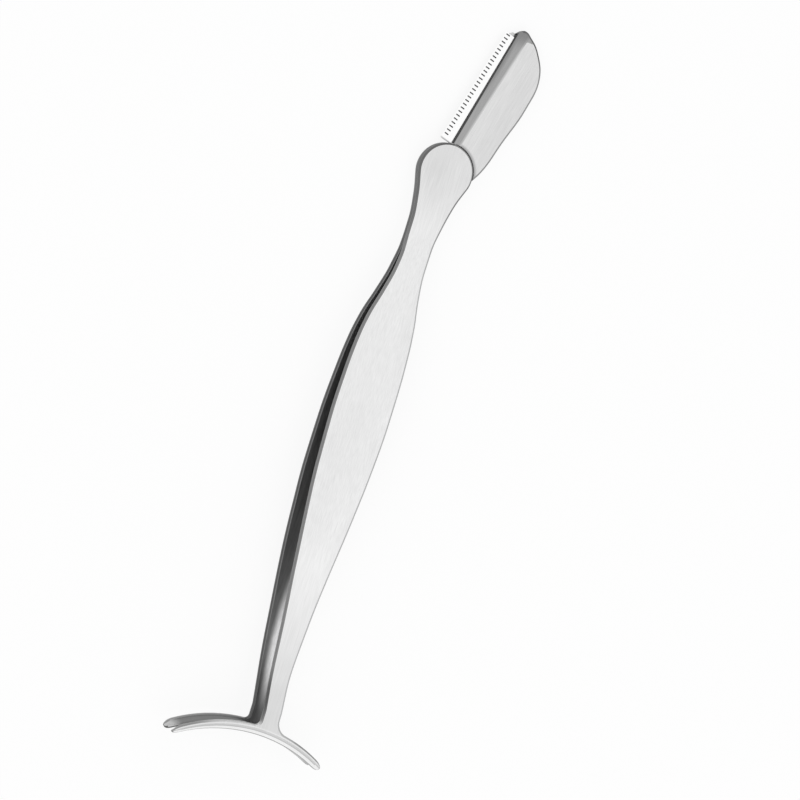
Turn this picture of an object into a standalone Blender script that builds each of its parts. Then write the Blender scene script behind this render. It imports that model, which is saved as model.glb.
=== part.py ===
# Lash applicator tweezers with a guarded blade head.
# Two mirrored steel stampings lie flat on each other at the head and neck, splay apart below it and end in
# curved T-foot jaws. A blade holder is clamped between their round heads.
# All shapes are drawn in the tool's own frame, in millimetres: Y runs from the jaw tips up to the head,
# X to the right, and Z = 0 is the plane midway between the two arms. The front arm is on the +Z side.
# The finished tool is then laid on its rear arm.

import math

import bmesh
import bpy
from mathutils import Matrix, Vector

MM = 0.001

# Sheet metal
sheet = 0.9                   # thickness of both arms
pack_gap = 0.3                # clearance between the arms where they are welded flat together
arris = 0.3                   # chamfer that stands for the tumbled edges of the sheet
fit_gap = 0.3                 # clearance between pieces that are clamped or laid together
fine_gap = 0.15               # clearance between the thin pieces in the blade holder

# Handle outline: distance up the tool, then the left and the right edge
ankle_y = 8.0
handle_edges = (
    (ankle_y, -1.10, 2.02),
    (14.0, -1.90, 1.38),
    (22.0, -2.75, 1.62),
    (30.0, -3.62, 2.37),
    (38.0, -4.33, 3.33),
    (46.0, -4.84, 4.18),
    (54.0, -4.94, 4.75),
    (61.0, -4.70, 4.87),
    (66.0, -4.28, 4.73),
    (70.0, -3.58, 4.42),
    (74.0, -2.42, 3.88),
    (78.0, -1.45, 3.56),
    (82.0, -1.02, 3.70),
    (86.0, -1.02, 4.30),
    (90.0, -1.45, 5.28),
)

# Round head
head_x = 2.15
head_y = 94.45
head_radius = 4.5
head_join_left = math.radians(11)     # where the neck's edges run into the round, below its widest place
head_join_right = math.radians(19)

# Side profile: distance up the tool, then how far the outer face of the front arm stands from the mid-plane
jaw_height = 3.10
bow_height = 3.62
bow_start = 24.0
bow_end = 31.0
neck_y = 84.0                         # the arms lie together above this
splay = (
    (ankle_y, jaw_height),
    (11.0, 3.14),
    (14.0, 3.30),
    (19.0, 3.54),
    (bow_start, bow_height),
    (bow_end, bow_height),
    (40.0, 3.33),
    (60.0, 2.38),
    (79.0, 1.46),
)

# T-foot jaw: a curved strip whose lower part is bent inwards as a lip, ground flat where the lips meet
jaw_x = -1.7
jaw_half_length = 12.5
jaw_crest = 3.0                      # highest place of the lip's edge, under the arm
jaw_radius = 24.5
jaw_height_across = (                 # distance from the middle, then the strip's height
    (0.0, 1.72),
    (8.0, 1.58),
    (11.0, 1.47),
    (12.5, 0.50),
)
tip_lift = 0.55                       # how far the lip's edge turns up towards the tips
full_section = 1.3                    # a lower strip than this has a scaled-down section
lip_depth = 0.95
lip_edge = 1.75                       # distance of the lip's outer edge from the mid-plane
lip_land = 1.2                        # distance of the ground land from the mid-plane, under the arm
land_start = 0.4
land_end = 0.85
tip_drop = 0.5                        # how far the upper edge comes down towards the lip at the tips
ankle_fillet_left = 1.2
ankle_fillet_right = 2.0

# Flexure: the arm bends at the end of the pack, and a hinge stands in for it there
flexure_y = 83.0
flexure_cut = 0.3

# Blade holder: u runs along its mouth, v out of the mouth
mouth_x = 2.05
mouth_y = 99.86
mouth_lean = math.radians(14.6)       # the mouth leans to the right of the tool's axis
holder_thickness = 1.5
holder_arris = 0.2
holder_outline = (                    # u, v and whether the outline is round there
    (-5.2, 0.0, False),
    (19.2, 0.0, False),
    (20.2, -0.95, True),
    (19.75, -2.5, True),
    (18.45, -4.55, True),
    (15.2, -7.05, True),
    (10.0, -7.65, True),
    (3.5, -7.13, True),
    (-2.0, -6.7, True),
    (-5.2, -6.15, False),
)
mouth_bevel = 1.65                    # width of the bevel along the mouth
mouth_leaf = 0.2                      # what is left of each leaf at the mouth
slit_width = 0.7                      # the slit that the blade and its guard sit in
slit_depth = 4.2
slit_end = 19.1
tang_thickness = 0.5
tang_width = 4.4
tang_middle = -2.8
tang_start = 2.0
tang_end = -7.2

# Blade and guard strip
strip_skew = math.radians(0.8)        # the strip sits a little askew in the mouth
strip_start = -1.0
blade_end = 18.85
blade_thickness = 0.15
blade_reach = 0.95                    # how far the edge stands out of the mouth
blade_tail = 3.4                      # how far the blade reaches into the slit
blade_edge = 0.04
blade_grind = 0.6
guard_end = 18.7
guard_thickness = 0.15
guard_reach = 1.85
guard_tail = 1.6
window_count = 28
window_pitch = 0.675
window_first = -0.1
window_width = 0.34
window_near = 0.88                    # where the windows start and end, out of the mouth
window_far = 1.52

# Mesh steps
row_step = 2.0
columns = 4
wing_steps = 6
tip_steps = 4
fillet_steps = 5
round_steps = 24

pack_half = pack_gap / 2
head_height = pack_half + sheet
slit_half = slit_width / 2
holder_half = holder_thickness / 2
tang_half = tang_thickness / 2


# Scene

for old in list(bpy.data.objects):
    bpy.data.objects.remove(old)

parts = bpy.data.collections.new("lash_tweezers")
cutters = bpy.data.collections.new("cutters")
cutters.hide_render = True
bpy.context.scene.collection.children.link(parts)
bpy.context.scene.collection.children.link(cutters)


def steel(name, tone, roughness):
    made = bpy.data.materials.new(name)
    made.use_nodes = True
    shader = made.node_tree.nodes["Principled BSDF"]
    shader.inputs["Base Color"].default_value = (tone, tone, tone, 1)
    shader.inputs["Metallic"].default_value = 1.0
    shader.inputs["Roughness"].default_value = roughness
    return made


def empty(name, parent=None, location=(0, 0, 0)):
    made = bpy.data.objects.new(name, None)
    made.empty_display_size = 5 * MM
    made.location = Vector(location) * MM
    made.parent = parent
    parts.objects.link(made)
    return made


def add_part(name, mesh, material, parent):
    """A named piece, drawn in the tool's frame, under its parent empty."""
    made = bpy.data.objects.new(name, mesh)
    mesh.materials.append(material)
    made.parent = parent
    if parent is not tool:
        made.location = -parent.location
    parts.objects.link(made)
    return made


def add_cutter(name, mesh):
    made = bpy.data.objects.new(name, mesh)
    made.parent = tool
    made.hide_render = True
    made.display_type = "WIRE"
    cutters.objects.link(made)
    return made


def boolean(piece, other, operation="DIFFERENCE"):
    cut = piece.modifiers.new(other.name, "BOOLEAN")
    cut.operation = operation
    cut.object = other


# Shapes by formula

def smooth(stations, at):
    """A smooth curve through (place, value) stations that never overshoots between them."""
    place = [s[0] for s in stations]
    value = [s[1] for s in stations]
    rise = [(value[i + 1] - value[i]) / (place[i + 1] - place[i]) for i in range(len(place) - 1)]
    slope = [rise[0]]
    for before, after in zip(rise, rise[1:]):
        slope.append(0.0 if before * after <= 0 else 2 * before * after / (before + after))
    slope.append(rise[-1])
    at = min(max(at, place[0]), place[-1])
    i = max(k for k in range(len(rise)) if place[k] <= at)
    width = place[i + 1] - place[i]
    t = (at - place[i]) / width
    start = value[i] * (1 + 2 * t) * (1 - t) ** 2 + width * slope[i] * t * (1 - t) ** 2
    end = value[i + 1] * (3 - 2 * t) * t * t - width * slope[i + 1] * t * t * (1 - t)
    return start + end


def round_side(y):
    """Half the width of the round head at height y."""
    return math.sqrt(max(head_radius ** 2 - (y - head_y) ** 2, 0.0))


def left_edge(y):
    join = head_y - head_radius * math.sin(head_join_left)
    if y >= join:
        return head_x - round_side(y)
    stations = [(s[0], s[1]) for s in handle_edges]
    return smooth(stations + [(join, head_x - round_side(join))], y)


def right_edge(y):
    join = head_y - head_radius * math.sin(head_join_right)
    if y >= join:
        return head_x + round_side(y)
    stations = [(s[0], s[2]) for s in handle_edges]
    return smooth(stations + [(join, head_x + round_side(join))], y)


def outer_face(y):
    return smooth(splay + ((neck_y, head_height), (head_y, head_height)), y)


def lip_line(x):
    """Height of the lip's edge at one place along the jaw."""
    start, end = jaw_height_across[-2][0], jaw_half_length
    tip = max((abs(x - jaw_x) - start) / (end - start), 0.0)
    return jaw_crest - jaw_radius + math.sqrt(jaw_radius ** 2 - (x - jaw_x) ** 2) + tip_lift * tip ** 2


def strip_height(x):
    return smooth(jaw_height_across, abs(x - jaw_x))


def jaw_top(x):
    return lip_line(x) + strip_height(x)


def land_height(y):
    """The lands are ground with the jaws shut, so they all meet at one angle of the flexure."""
    return lip_land * (flexure_y - y) / (flexure_y - jaw_crest)


# Stamped arms

def jaw_section(x, with_rim):
    """Points round the jaw at one place along it: down the outer face, round the lip and up inside."""
    lip = lip_line(x)
    height = strip_height(x)
    scale = min(height / full_section, 1.0)
    start, end = land_start * scale, land_end * scale
    top = jaw_height - tip_drop * (1 - scale)
    edge = arris * scale
    section = [
        (height - edge, top),
        (lip_depth * scale, top),
        (0.0, lip_edge),
        (start / 4, (lip_edge + lip_land) / 2),
        (start, land_height(lip + start)),
        (end, land_height(lip + end)),
        (height - edge, top - sheet),
    ]
    if with_rim:
        section += [(height, top - sheet + edge), (height, top - edge), section[0]]
    return [(x, lip + above, z) for above, z in section]


def arm_section(left, right, outer):
    """Points round the arm: across the outer face, down the right edge, back inside, up the left edge.
    left and right are (edge, edge moved in by the chamfer), each (x, y)."""
    (left_rim, left_face), (right_rim, right_face) = left, right
    face = []
    for k in range(columns + 1):
        t = k / columns
        x = left_face[0] * (1 - t) + right_face[0] * t
        y = left_face[1] * (1 - t) + right_face[1] * t
        if y < ankle_y:
            y += jaw_top(x) - jaw_top(left_face[0]) * (1 - t) - jaw_top(right_face[0]) * t
        face.append((x, y))
    outside = [(x, y, outer) for x, y in face]
    inside = [(x, y, outer - sheet) for x, y in reversed(face)]
    right_edge_points = [(*right_rim, outer - arris), (*right_rim, outer - sheet + arris)]
    left_edge_points = [(*left_rim, outer - sheet + arris), (*left_rim, outer - arris)]
    return outside + right_edge_points + inside + left_edge_points + outside[:1]


def arm_sections():
    sections = []
    top = flexure_y - flexure_cut / 2
    steps = round((top - ankle_y) / row_step)
    for k in range(steps + 1):
        y = top + (ankle_y - top) * k / steps
        left, right = left_edge(y), right_edge(y)
        sections.append(arm_section(
            ((left, y), (left + arris, y)), ((right, y), (right - arris, y)), outer_face(y)))
    for k in range(fillet_steps + 1):
        turn = math.radians(90) * k / fillet_steps
        sides = []
        for edge, fillet, outwards in ((left_edge(ankle_y), ankle_fillet_left, -1),
                                       (right_edge(ankle_y), ankle_fillet_right, 1)):
            above = fillet * (1 - math.sin(turn))
            rim = edge + outwards * fillet * (1 - math.cos(turn))
            face = rim - outwards * arris * math.cos(turn)
            sides.append(((rim, jaw_top(rim) + above),
                          (face, jaw_top(face) + above - arris * math.sin(turn))))
        sections.append(arm_section(*sides, jaw_height))
    return sections


def jaw_places(foot, tip):
    """Places along one wing, from the ankle out to the tip, closer together where the tip rounds off."""
    tip_start = tip - math.copysign(jaw_half_length - jaw_height_across[-2][0], tip - foot)
    wing = [foot + (tip_start - foot) * k / wing_steps for k in range(wing_steps)]
    rounded = [tip_start + (tip - tip_start) * k / tip_steps for k in range(tip_steps + 1)]
    return wing + rounded


def add_grid(bm, rows, side):
    made = bmesh.ops.create_grid(bm, x_segments=len(rows[0]) - 1, y_segments=len(rows) - 1, size=MM)
    for vertex, (x, y, z) in zip(made["verts"], (p for row in rows for p in row)):
        vertex.co = Vector((x, y, z * side)) * MM


def arm_mesh(name, side):
    """A whole arm from the flexure down: side is +1 for the front arm, -1 for the rear."""
    bm = bmesh.new()
    foot_left = left_edge(ankle_y) - ankle_fillet_left
    foot_right = right_edge(ankle_y) + ankle_fillet_right
    between = [foot_left + (foot_right - foot_left) * k / columns for k in range(columns + 1)]
    add_grid(bm, arm_sections(), side)
    add_grid(bm, [jaw_section(x, False) for x in between], side)
    for foot, tip in ((foot_left, jaw_x - jaw_half_length), (foot_right, jaw_x + jaw_half_length)):
        add_grid(bm, [jaw_section(x, True) for x in jaw_places(foot, tip)], side)
    bmesh.ops.remove_doubles(bm, verts=bm.verts, dist=0.01 * MM)
    bmesh.ops.holes_fill(bm, edges=[e for e in bm.edges if e.is_boundary])
    bmesh.ops.recalc_face_normals(bm, faces=bm.faces)
    mesh = bpy.data.meshes.new(name)
    bm.to_mesh(mesh)
    bm.free()
    return mesh


def head_outline():
    """The head and neck above the flexure, anticlockwise from the lower left."""
    low = flexure_y + flexure_cut / 2
    join_left = head_y - head_radius * math.sin(head_join_left)
    join_right = head_y - head_radius * math.sin(head_join_right)
    steps = 6
    left = [low + (join_left - low) * k / steps for k in range(steps)]
    right = [low + (join_right - low) * k / steps for k in range(steps)]
    start = math.pi + head_join_left
    sweep = math.pi + head_join_left + head_join_right
    turns = [start - sweep * k / round_steps for k in range(round_steps + 1)]
    points = [(left_edge(y), y, False) for y in left]
    points += [(head_x + head_radius * math.cos(a), head_y + head_radius * math.sin(a), False)
               for a in turns]
    points += [(right_edge(y), y, False) for y in reversed(right)]
    return points


def box_mesh(name, low, high):
    bm = bmesh.new()
    bmesh.ops.create_cube(bm, size=1)
    size = [(b - a) * MM for a, b in zip(low, high)]
    middle = [(a + b) / 2 * MM for a, b in zip(low, high)]
    bmesh.ops.scale(bm, vec=size, verts=bm.verts)
    bmesh.ops.translate(bm, vec=middle, verts=bm.verts)
    mesh = bpy.data.meshes.new(name)
    bm.to_mesh(mesh)
    bm.free()
    return mesh


def cylinder_mesh(name, x, y, radius, depth, segments=64):
    bm = bmesh.new()
    bmesh.ops.create_cone(bm, cap_ends=True, segments=segments, radius1=radius * MM, radius2=radius * MM,
                          depth=depth * MM)
    bmesh.ops.translate(bm, vec=(x * MM, y * MM, 0), verts=bm.verts)
    mesh = bpy.data.meshes.new(name)
    bm.to_mesh(mesh)
    bm.free()
    return mesh


# Blade holder frame

holder_frame = Matrix.Translation((mouth_x * MM, mouth_y * MM, 0)) @ Matrix.Rotation(
    math.radians(90) - mouth_lean, 4, "Z"
)


def on_holder(mesh, turn=0.0):
    """Moves a mesh drawn with u along X and v along Y to its place on the mouth."""
    mesh.transform(holder_frame @ Matrix.Rotation(turn, 4, "Z"))
    return mesh


def outline_mesh(name, points, half_thickness, chamfer=0.0):
    """A flat outline of (x, y, is round) points, made solid about Z = 0 with chamfered edges."""
    curve = bpy.data.curves.new(name, "CURVE")
    curve.dimensions = "2D"
    curve.fill_mode = "BOTH"
    curve.resolution_u = 7
    curve.extrude = (half_thickness - chamfer) * MM
    curve.bevel_depth = chamfer * MM
    curve.bevel_resolution = 0
    curve.offset = -chamfer * MM
    spline = curve.splines.new("BEZIER")
    spline.bezier_points.add(len(points) - 1)
    spline.use_cyclic_u = True
    for knot, (x, y, is_round) in zip(spline.bezier_points, points):
        knot.co = (x * MM, y * MM, 0)
        knot.handle_left_type = "AUTO" if is_round else "VECTOR"
        knot.handle_right_type = knot.handle_left_type
    drawn = bpy.data.objects.new(name, curve)
    parts.objects.link(drawn)
    graph = bpy.context.evaluated_depsgraph_get()
    mesh = bpy.data.meshes.new_from_object(drawn.evaluated_get(graph))
    bpy.data.objects.remove(drawn)
    bm = bmesh.new()
    bm.from_mesh(mesh)
    bmesh.ops.remove_doubles(bm, verts=bm.verts, dist=0.002 * MM)
    bmesh.ops.dissolve_limit(bm, angle_limit=math.radians(0.5), verts=bm.verts, edges=bm.edges)
    bmesh.ops.recalc_face_normals(bm, faces=bm.faces)
    bm.to_mesh(mesh)
    bm.free()
    return mesh


def tang_outline(grow):
    """The tang's rounded outline, larger all round by grow."""
    half = tang_width / 2 + grow
    points = [(tang_start, tang_middle + half, False), (tang_start, tang_middle - half, False)]
    for k in range(9):
        turn = math.radians(270 - 180 * k / 8)
        points.append((tang_end + tang_width / 2 + half * math.cos(turn),
                       tang_middle + half * math.sin(turn), False))
    return points


# Pieces

bright = steel("brushed_steel", 0.72, 0.32)
holder_steel = steel("holder_steel", 0.68, 0.30)
blade_steel = steel("blade_steel", 0.78, 0.18)
guard_steel = steel("guard_steel", 0.80, 0.22)

tool = empty("tool")
sides = (("front", 1), ("rear", -1))

pocket = add_cutter("tang_pocket", on_holder(outline_mesh(
    "tang_pocket", tang_outline(fit_gap), tang_half + fit_gap)))
for word, side in sides:
    middle = side * (pack_half + sheet / 2)
    head_mesh = outline_mesh(word + "_head", head_outline(), sheet / 2, arris)
    head_mesh.transform(Matrix.Translation((0, 0, middle * MM)))
    head = add_part(word + "_head", head_mesh, bright, tool)
    boolean(head, pocket)
    flexure = empty(word + "_flexure", tool, (0, flexure_y, middle))
    add_part(word + "_arm", arm_mesh(word + "_arm", side), bright, flexure)

# Blade holder: the body stops short of the round heads, and the thinner tang goes on between them
clearance = add_cutter("head_clearance", cylinder_mesh(
    "head_clearance", head_x, head_y, head_radius + fit_gap, 4 * holder_thickness))
holder = add_part("blade_holder", on_holder(outline_mesh(
    "blade_holder", holder_outline, holder_half, holder_arris)), holder_steel, tool)
boolean(holder, clearance)
boolean(holder, add_cutter("tang", on_holder(outline_mesh(
    "tang", tang_outline(0.0), tang_half))), "UNION")
boolean(holder, add_cutter("slit", on_holder(box_mesh(
    "slit", (strip_start - 2, -slit_depth, -slit_half), (slit_end, 2, slit_half)))))
bevel_angle = math.atan2(holder_half - slit_half - mouth_leaf, mouth_bevel)
for word, side in sides:
    wedge = box_mesh(word + "_bevel", (-30, 0, 0), (30, 6, 3))
    wedge.transform(Matrix.Translation((0, -mouth_bevel * MM, holder_half * MM))
                    @ Matrix.Rotation(-bevel_angle, 4, "X"))
    if side < 0:
        wedge.transform(Matrix.Diagonal((1, 1, -1, 1)))
        wedge.flip_normals()
    boolean(holder, add_cutter(word + "_bevel", on_holder(wedge)))

# Blade: a thin strip, ground to an edge on the side that stands out of the mouth
blade_top = -fine_gap / 2
blade_mesh = box_mesh("blade", (strip_start, -blade_tail, blade_top - blade_thickness),
                      (blade_end, blade_reach, blade_top))
bm = bmesh.new()
bm.from_mesh(blade_mesh)
bmesh.ops.bisect_plane(bm, geom=bm.verts[:] + bm.edges[:] + bm.faces[:],
                       plane_co=(0, (blade_reach - blade_grind) * MM, 0), plane_no=(0, 1, 0))
middle = (blade_top - blade_thickness / 2) * MM
for vertex in bm.verts:
    if vertex.co.y > (blade_reach - blade_grind / 2) * MM:
        vertex.co.z = middle + (vertex.co.z - middle) * blade_edge / blade_thickness
bm.to_mesh(blade_mesh)
bm.free()
blade = add_part("blade", on_holder(blade_mesh, -strip_skew), blade_steel, tool)
boolean(blade, clearance)

# Guard: a strip in front of the blade, with a row of windows along the blade's edge
guard_low = fine_gap / 2
guard = add_part("guard", on_holder(box_mesh(
    "guard", (strip_start, -guard_tail, guard_low),
    (guard_end, guard_reach, guard_low + guard_thickness)), -strip_skew), guard_steel, tool)
bm = bmesh.new()
for k in range(window_count):
    made = bmesh.ops.create_cube(bm, size=1)["verts"]
    bmesh.ops.scale(bm, vec=(window_width * MM, (window_far - window_near) * MM, 4 * guard_thickness * MM),
                    verts=made)
    bmesh.ops.translate(bm, vec=((window_first + k * window_pitch) * MM, (window_near + window_far) / 2 * MM,
                                 guard_low * MM), verts=made)
windows = bpy.data.meshes.new("windows")
bm.to_mesh(windows)
bm.free()
boolean(guard, add_cutter("windows", on_holder(windows, -strip_skew)))
boolean(guard, clearance)


# Lay the tool on its rear arm: it rests on the bow and on the tip of the blade holder

def corners(pieces):
    """All corners of the pieces as built, in the scene's frame."""
    bpy.context.view_layer.update()
    graph = bpy.context.evaluated_depsgraph_get()
    found = []
    for piece in pieces:
        built = piece.evaluated_get(graph)
        mesh = built.to_mesh()
        found += [built.matrix_world @ vertex.co for vertex in mesh.vertices]
        built.to_mesh_clear()
    return found


solids = [piece for piece in parts.objects if piece.type == "MESH"]
rest = Vector((0, bow_end, -bow_height)) * MM
lean = min(math.atan2(p.z - rest.z, p.y - rest.y) for p in corners(solids) if p.y > head_y * MM)
tool.rotation_euler.x = -lean
points = corners(solids)
low = Vector(min(p[k] for p in points) for k in range(3))
high = Vector(max(p[k] for p in points) for k in range(3))
tool.location = (-(low.x + high.x) / 2, -(low.y + high.y) / 2, -low.z)
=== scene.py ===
# %% [markdown]
# # Lash tweezers with a blade head
# The tool is a squeeze tool of brushed stainless steel. Two mirrored stampings lie flat on each other at a
# round head, splay apart below it and end in curved T-shaped jaws for false lashes. A small blade holder
# with a guarded strip is clamped between the heads.
#
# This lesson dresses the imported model: each arm becomes one springy sheet, and the holder, the blade and
# the guard get their real edges and finishes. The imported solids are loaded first, and their box is noted,
# so that the finished pieces can be compared with it at the end.

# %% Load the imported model
import math

import bmesh
import bpy
from mathutils import Matrix, Vector


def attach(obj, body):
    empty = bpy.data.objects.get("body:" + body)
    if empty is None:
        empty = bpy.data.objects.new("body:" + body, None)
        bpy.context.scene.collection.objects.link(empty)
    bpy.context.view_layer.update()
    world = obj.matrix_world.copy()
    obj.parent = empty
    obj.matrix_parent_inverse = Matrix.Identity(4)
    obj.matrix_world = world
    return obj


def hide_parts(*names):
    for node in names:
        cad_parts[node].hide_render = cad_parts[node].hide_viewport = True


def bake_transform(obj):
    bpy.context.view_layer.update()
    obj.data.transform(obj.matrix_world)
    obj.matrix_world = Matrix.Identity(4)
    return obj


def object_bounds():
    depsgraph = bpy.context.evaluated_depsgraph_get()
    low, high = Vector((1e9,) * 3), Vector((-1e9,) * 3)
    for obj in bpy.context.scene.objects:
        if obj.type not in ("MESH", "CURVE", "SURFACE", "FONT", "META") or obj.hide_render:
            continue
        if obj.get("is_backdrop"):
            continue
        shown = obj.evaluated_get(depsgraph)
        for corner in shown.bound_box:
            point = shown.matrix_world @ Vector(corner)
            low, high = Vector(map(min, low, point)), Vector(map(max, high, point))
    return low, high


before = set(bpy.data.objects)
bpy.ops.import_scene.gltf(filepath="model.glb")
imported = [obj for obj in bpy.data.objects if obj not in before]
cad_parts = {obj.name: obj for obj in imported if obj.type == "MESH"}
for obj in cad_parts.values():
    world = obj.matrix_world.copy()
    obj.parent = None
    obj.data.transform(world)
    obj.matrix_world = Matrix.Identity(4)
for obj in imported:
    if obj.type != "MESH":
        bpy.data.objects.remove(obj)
cad_low, cad_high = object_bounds()
MM = 0.001
print("packed model:", len(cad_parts), "nodes")

# %% [markdown]
# ## The tool's own frame
# Each piece could be drawn as it lies on the table, but the two arms mirror each other only in the frame
# that a toolmaker would use. So everything is drawn there, in millimetres: Y runs from the jaws to the
# head, Z = 0 is the plane between the arms, and the front arm is on the +Z side. The tool lies on the rear
# arm's bow and on the holder's tip, with a small lean, and each finished mesh gets that lean as its last
# step.

# %% Place of the tool on the table
lean = 0.0326948
tool_offset = (0.714, -59.582, 4.68)
tool_place = Matrix.Translation(Vector(tool_offset) * MM) @ Matrix.Rotation(-lean, 4, "X")


def on_table(x, y, z):
    """A point of the tool's frame, in millimetres, as a place on the table, in metres."""
    return tool_place @ (Vector((x, y, z)) * MM)


print("the tool leans by", round(math.degrees(lean), 2), "degrees")

# %% [markdown]
# ## Smooth curves
# The outline of a stamping is a few sizes that flow into each other. A free curve through them would swell
# between two equal widths. This one never overshoots: where the sizes turn from rising to falling, it runs
# level.


# %% A curve through stations
def smooth(stations, at):
    """A smooth curve through (place, value) stations that never overshoots between them."""
    place = [s[0] for s in stations]
    value = [s[1] for s in stations]
    rise = [(value[i + 1] - value[i]) / (place[i + 1] - place[i]) for i in range(len(place) - 1)]
    slope = [rise[0]]
    for before, after in zip(rise, rise[1:]):
        slope.append(0.0 if before * after <= 0 else 2 * before * after / (before + after))
    slope.append(rise[-1])
    at = min(max(at, place[0]), place[-1])
    i = max(k for k in range(len(rise)) if place[k] <= at)
    width = place[i + 1] - place[i]
    t = (at - place[i]) / width
    start = value[i] * (1 + 2 * t) * (1 - t) ** 2 + width * slope[i] * t * (1 - t) ** 2
    end = value[i + 1] * (3 - 2 * t) * t * t - width * slope[i + 1] * t * t * (1 - t)
    return start + end

# %% [markdown]
# ## Outline of an arm
# An arm is cut from sheet: a round head, a narrow neck, a wide handle with a waist, and a thin ankle. Its
# left and right edges are two rows of stations up the tool. They differ, because the handle swings a little
# from side to side, as on the real tool. The neck meets the head where the round of the disc points along
# the edge.

# %% Edges of the handle
sheet = 0.9
arris = 0.3
weld_gap = 0.06
head_top = weld_gap / 2 + sheet
ankle_y = 7.2
# distance up the tool, left edge, right edge
handle_edges = (
    (ankle_y, -1.07, 1.93), (14.0, -1.99, 1.41), (22.0, -2.82, 1.73), (30.0, -3.68, 2.48),
    (38.0, -4.37, 3.47), (46.0, -4.86, 4.33), (54.0, -4.96, 4.87), (61.0, -4.70, 4.98),
    (66.0, -4.28, 4.84), (70.0, -3.58, 4.51), (74.0, -2.42, 3.90), (78.0, -1.43, 3.58),
    (82.0, -0.98, 3.79), (86.0, -0.98, 4.42), (90.0, -1.43, 5.37),
)
head_x, head_y, head_radius = 2.20, 94.45, 4.55
join_left, join_right = math.radians(11), math.radians(19)
join_points = (
    (head_x - head_radius * math.cos(join_left), head_y - head_radius * math.sin(join_left)),
    (head_x + head_radius * math.cos(join_right), head_y - head_radius * math.sin(join_right)),
)


def edge_at(side, y):
    """Left (0) or right (1) edge of the handle."""
    stations = [(s[0], s[1 + side]) for s in handle_edges] + [(join_points[side][1], join_points[side][0])]
    return smooth(stations, y)


widest = max(handle_edges, key=lambda s: s[2] - s[1])[0]
print("handle is", round(edge_at(1, widest) - edge_at(0, widest), 2), "mm wide")

# %% [markdown]
# ## Splay of the arms
# The arms lie on each other at the heads and bow apart below them, which makes the spring. Seen from the
# side, the outer face of the front arm is a third row of stations, measured from the plane between the
# arms.

# %% Side profile
jaw_height = 3.10
# distance up the tool, outer face above the plane between the arms
splay = (
    (ankle_y, jaw_height), (11.0, 3.14), (14.0, 3.30), (19.0, 3.54), (24.0, 3.62), (31.0, 3.62), (40.0, 3.33),
    (60.0, 2.38), (79.0, 1.46), (84.0, head_top), (head_y, head_top),
)
print("bow of an arm:", round(max(s[1] for s in splay) - head_top, 2), "mm")

# %% [markdown]
# ## Curve of the jaw
# The jaws follow an eyelid, so the lower line of the lip is an arc. The strip above it is highest at the
# ankle and a little lower at the tips, and its last millimetre is drawn in to a round nose.

# %% Sizes of the jaw
jaw_x, jaw_half_length = -1.7, 12.5
jaw_crest, jaw_radius = 3.0, 25.2
# distance from the middle, height of the strip
jaw_height_across = ((0.0, 1.72), (8.0, 1.58), (11.0, 1.47), (12.5, 1.40))
nose_start = 11.4


def lip_line(x):
    """Lower line of the lip, up the tool."""
    return jaw_crest - jaw_radius + math.sqrt(jaw_radius ** 2 - (x - jaw_x) ** 2)


def strip_height(x):
    return smooth(jaw_height_across, abs(x - jaw_x))


print("the tips lie", round(jaw_crest - lip_line(jaw_x + jaw_half_length), 2), "mm below the crest")

# %% [markdown]
# ## Choosing what to change
# By hand, a person clicks the vertices, edges or faces that the next operator changes. In a script they are
# chosen by their place and slant instead, which still holds when a size changes. Everything is deselected
# first, because an operator acts on all that is selected.

# %% Selection helpers
# two places closer than this are the same place
hair = 0.01


def fresh():
    """Object mode with nothing selected."""
    if bpy.context.object and bpy.context.object.mode != "OBJECT":
        bpy.ops.object.mode_set(mode="OBJECT")
    bpy.ops.object.select_all(action="DESELECT")


def take(piece):
    """Object mode with only this piece selected and active."""
    fresh()
    bpy.context.view_layer.objects.active = piece
    piece.select_set(True)


def edit(piece, mode="VERT"):
    """Edit mode on this piece, with nothing in it selected."""
    take(piece)
    bpy.ops.object.mode_set(mode="EDIT")
    bpy.ops.mesh.select_mode(type=mode)
    bpy.ops.mesh.select_all(action="DESELECT")


def pick(kind, test):
    """Selects only the verts, edges or faces that pass the test, and says how many there are."""
    piece = bpy.context.object
    bpy.ops.mesh.select_mode(type={"verts": "VERT", "edges": "EDGE", "faces": "FACE"}[kind])
    bpy.ops.mesh.select_all(action="DESELECT")
    bm = bmesh.from_edit_mesh(piece.data)
    chosen = [e for e in getattr(bm, kind) if test(e)]
    for element in chosen:
        element.select_set(True)
    bm.select_flush_mode()
    bmesh.update_edit_mesh(piece.data)
    return len(chosen)


# %% [markdown]
# ## Reading places and slants
# The tests ask simple things of an edge or a face: where its middle is, which way it runs, and how sharply
# the sheet turns there. All places are in millimetres.


# %% Measures of edges and faces
def place(edge):
    """Middle of an edge."""
    return (edge.verts[0].co + edge.verts[1].co) / 2 / MM


def along(edge):
    return (edge.verts[1].co - edge.verts[0].co).normalized()


def slant(edge):
    """Angle across an edge, in degrees."""
    return math.degrees(edge.calc_face_angle(0.0))


def spot(face):
    """Middle of a face."""
    return face.calc_center_median() / MM

# %% [markdown]
# ## Cuts, merges and modifiers
# A straight ground surface, such as a bevel, is a plane through the metal. Bisect makes it exactly, and
# fills the cut. The other helpers do what ends each piece: merge doubled vertices, point all faces
# outwards, apply a modifier, and lay the mesh down where the tool lies, with its object left at the origin.


# %% Steps that all pieces share
def slice_off(at, facing, fill=False, drop=True):
    """Bisects the mesh with a plane, and drops what lies on the side it faces."""
    bpy.ops.mesh.select_all(action="SELECT")
    # the operator's own threshold, 0.1 mm, would swallow whole edges of so small a piece
    bpy.ops.mesh.bisect(plane_co=Vector(at) * MM, plane_no=Vector(facing).normalized(), use_fill=fill,
                        clear_outer=drop, threshold=1e-9)


def face_outwards():
    bpy.ops.mesh.select_all(action="SELECT")
    bpy.ops.mesh.normals_make_consistent(inside=False)


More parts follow.
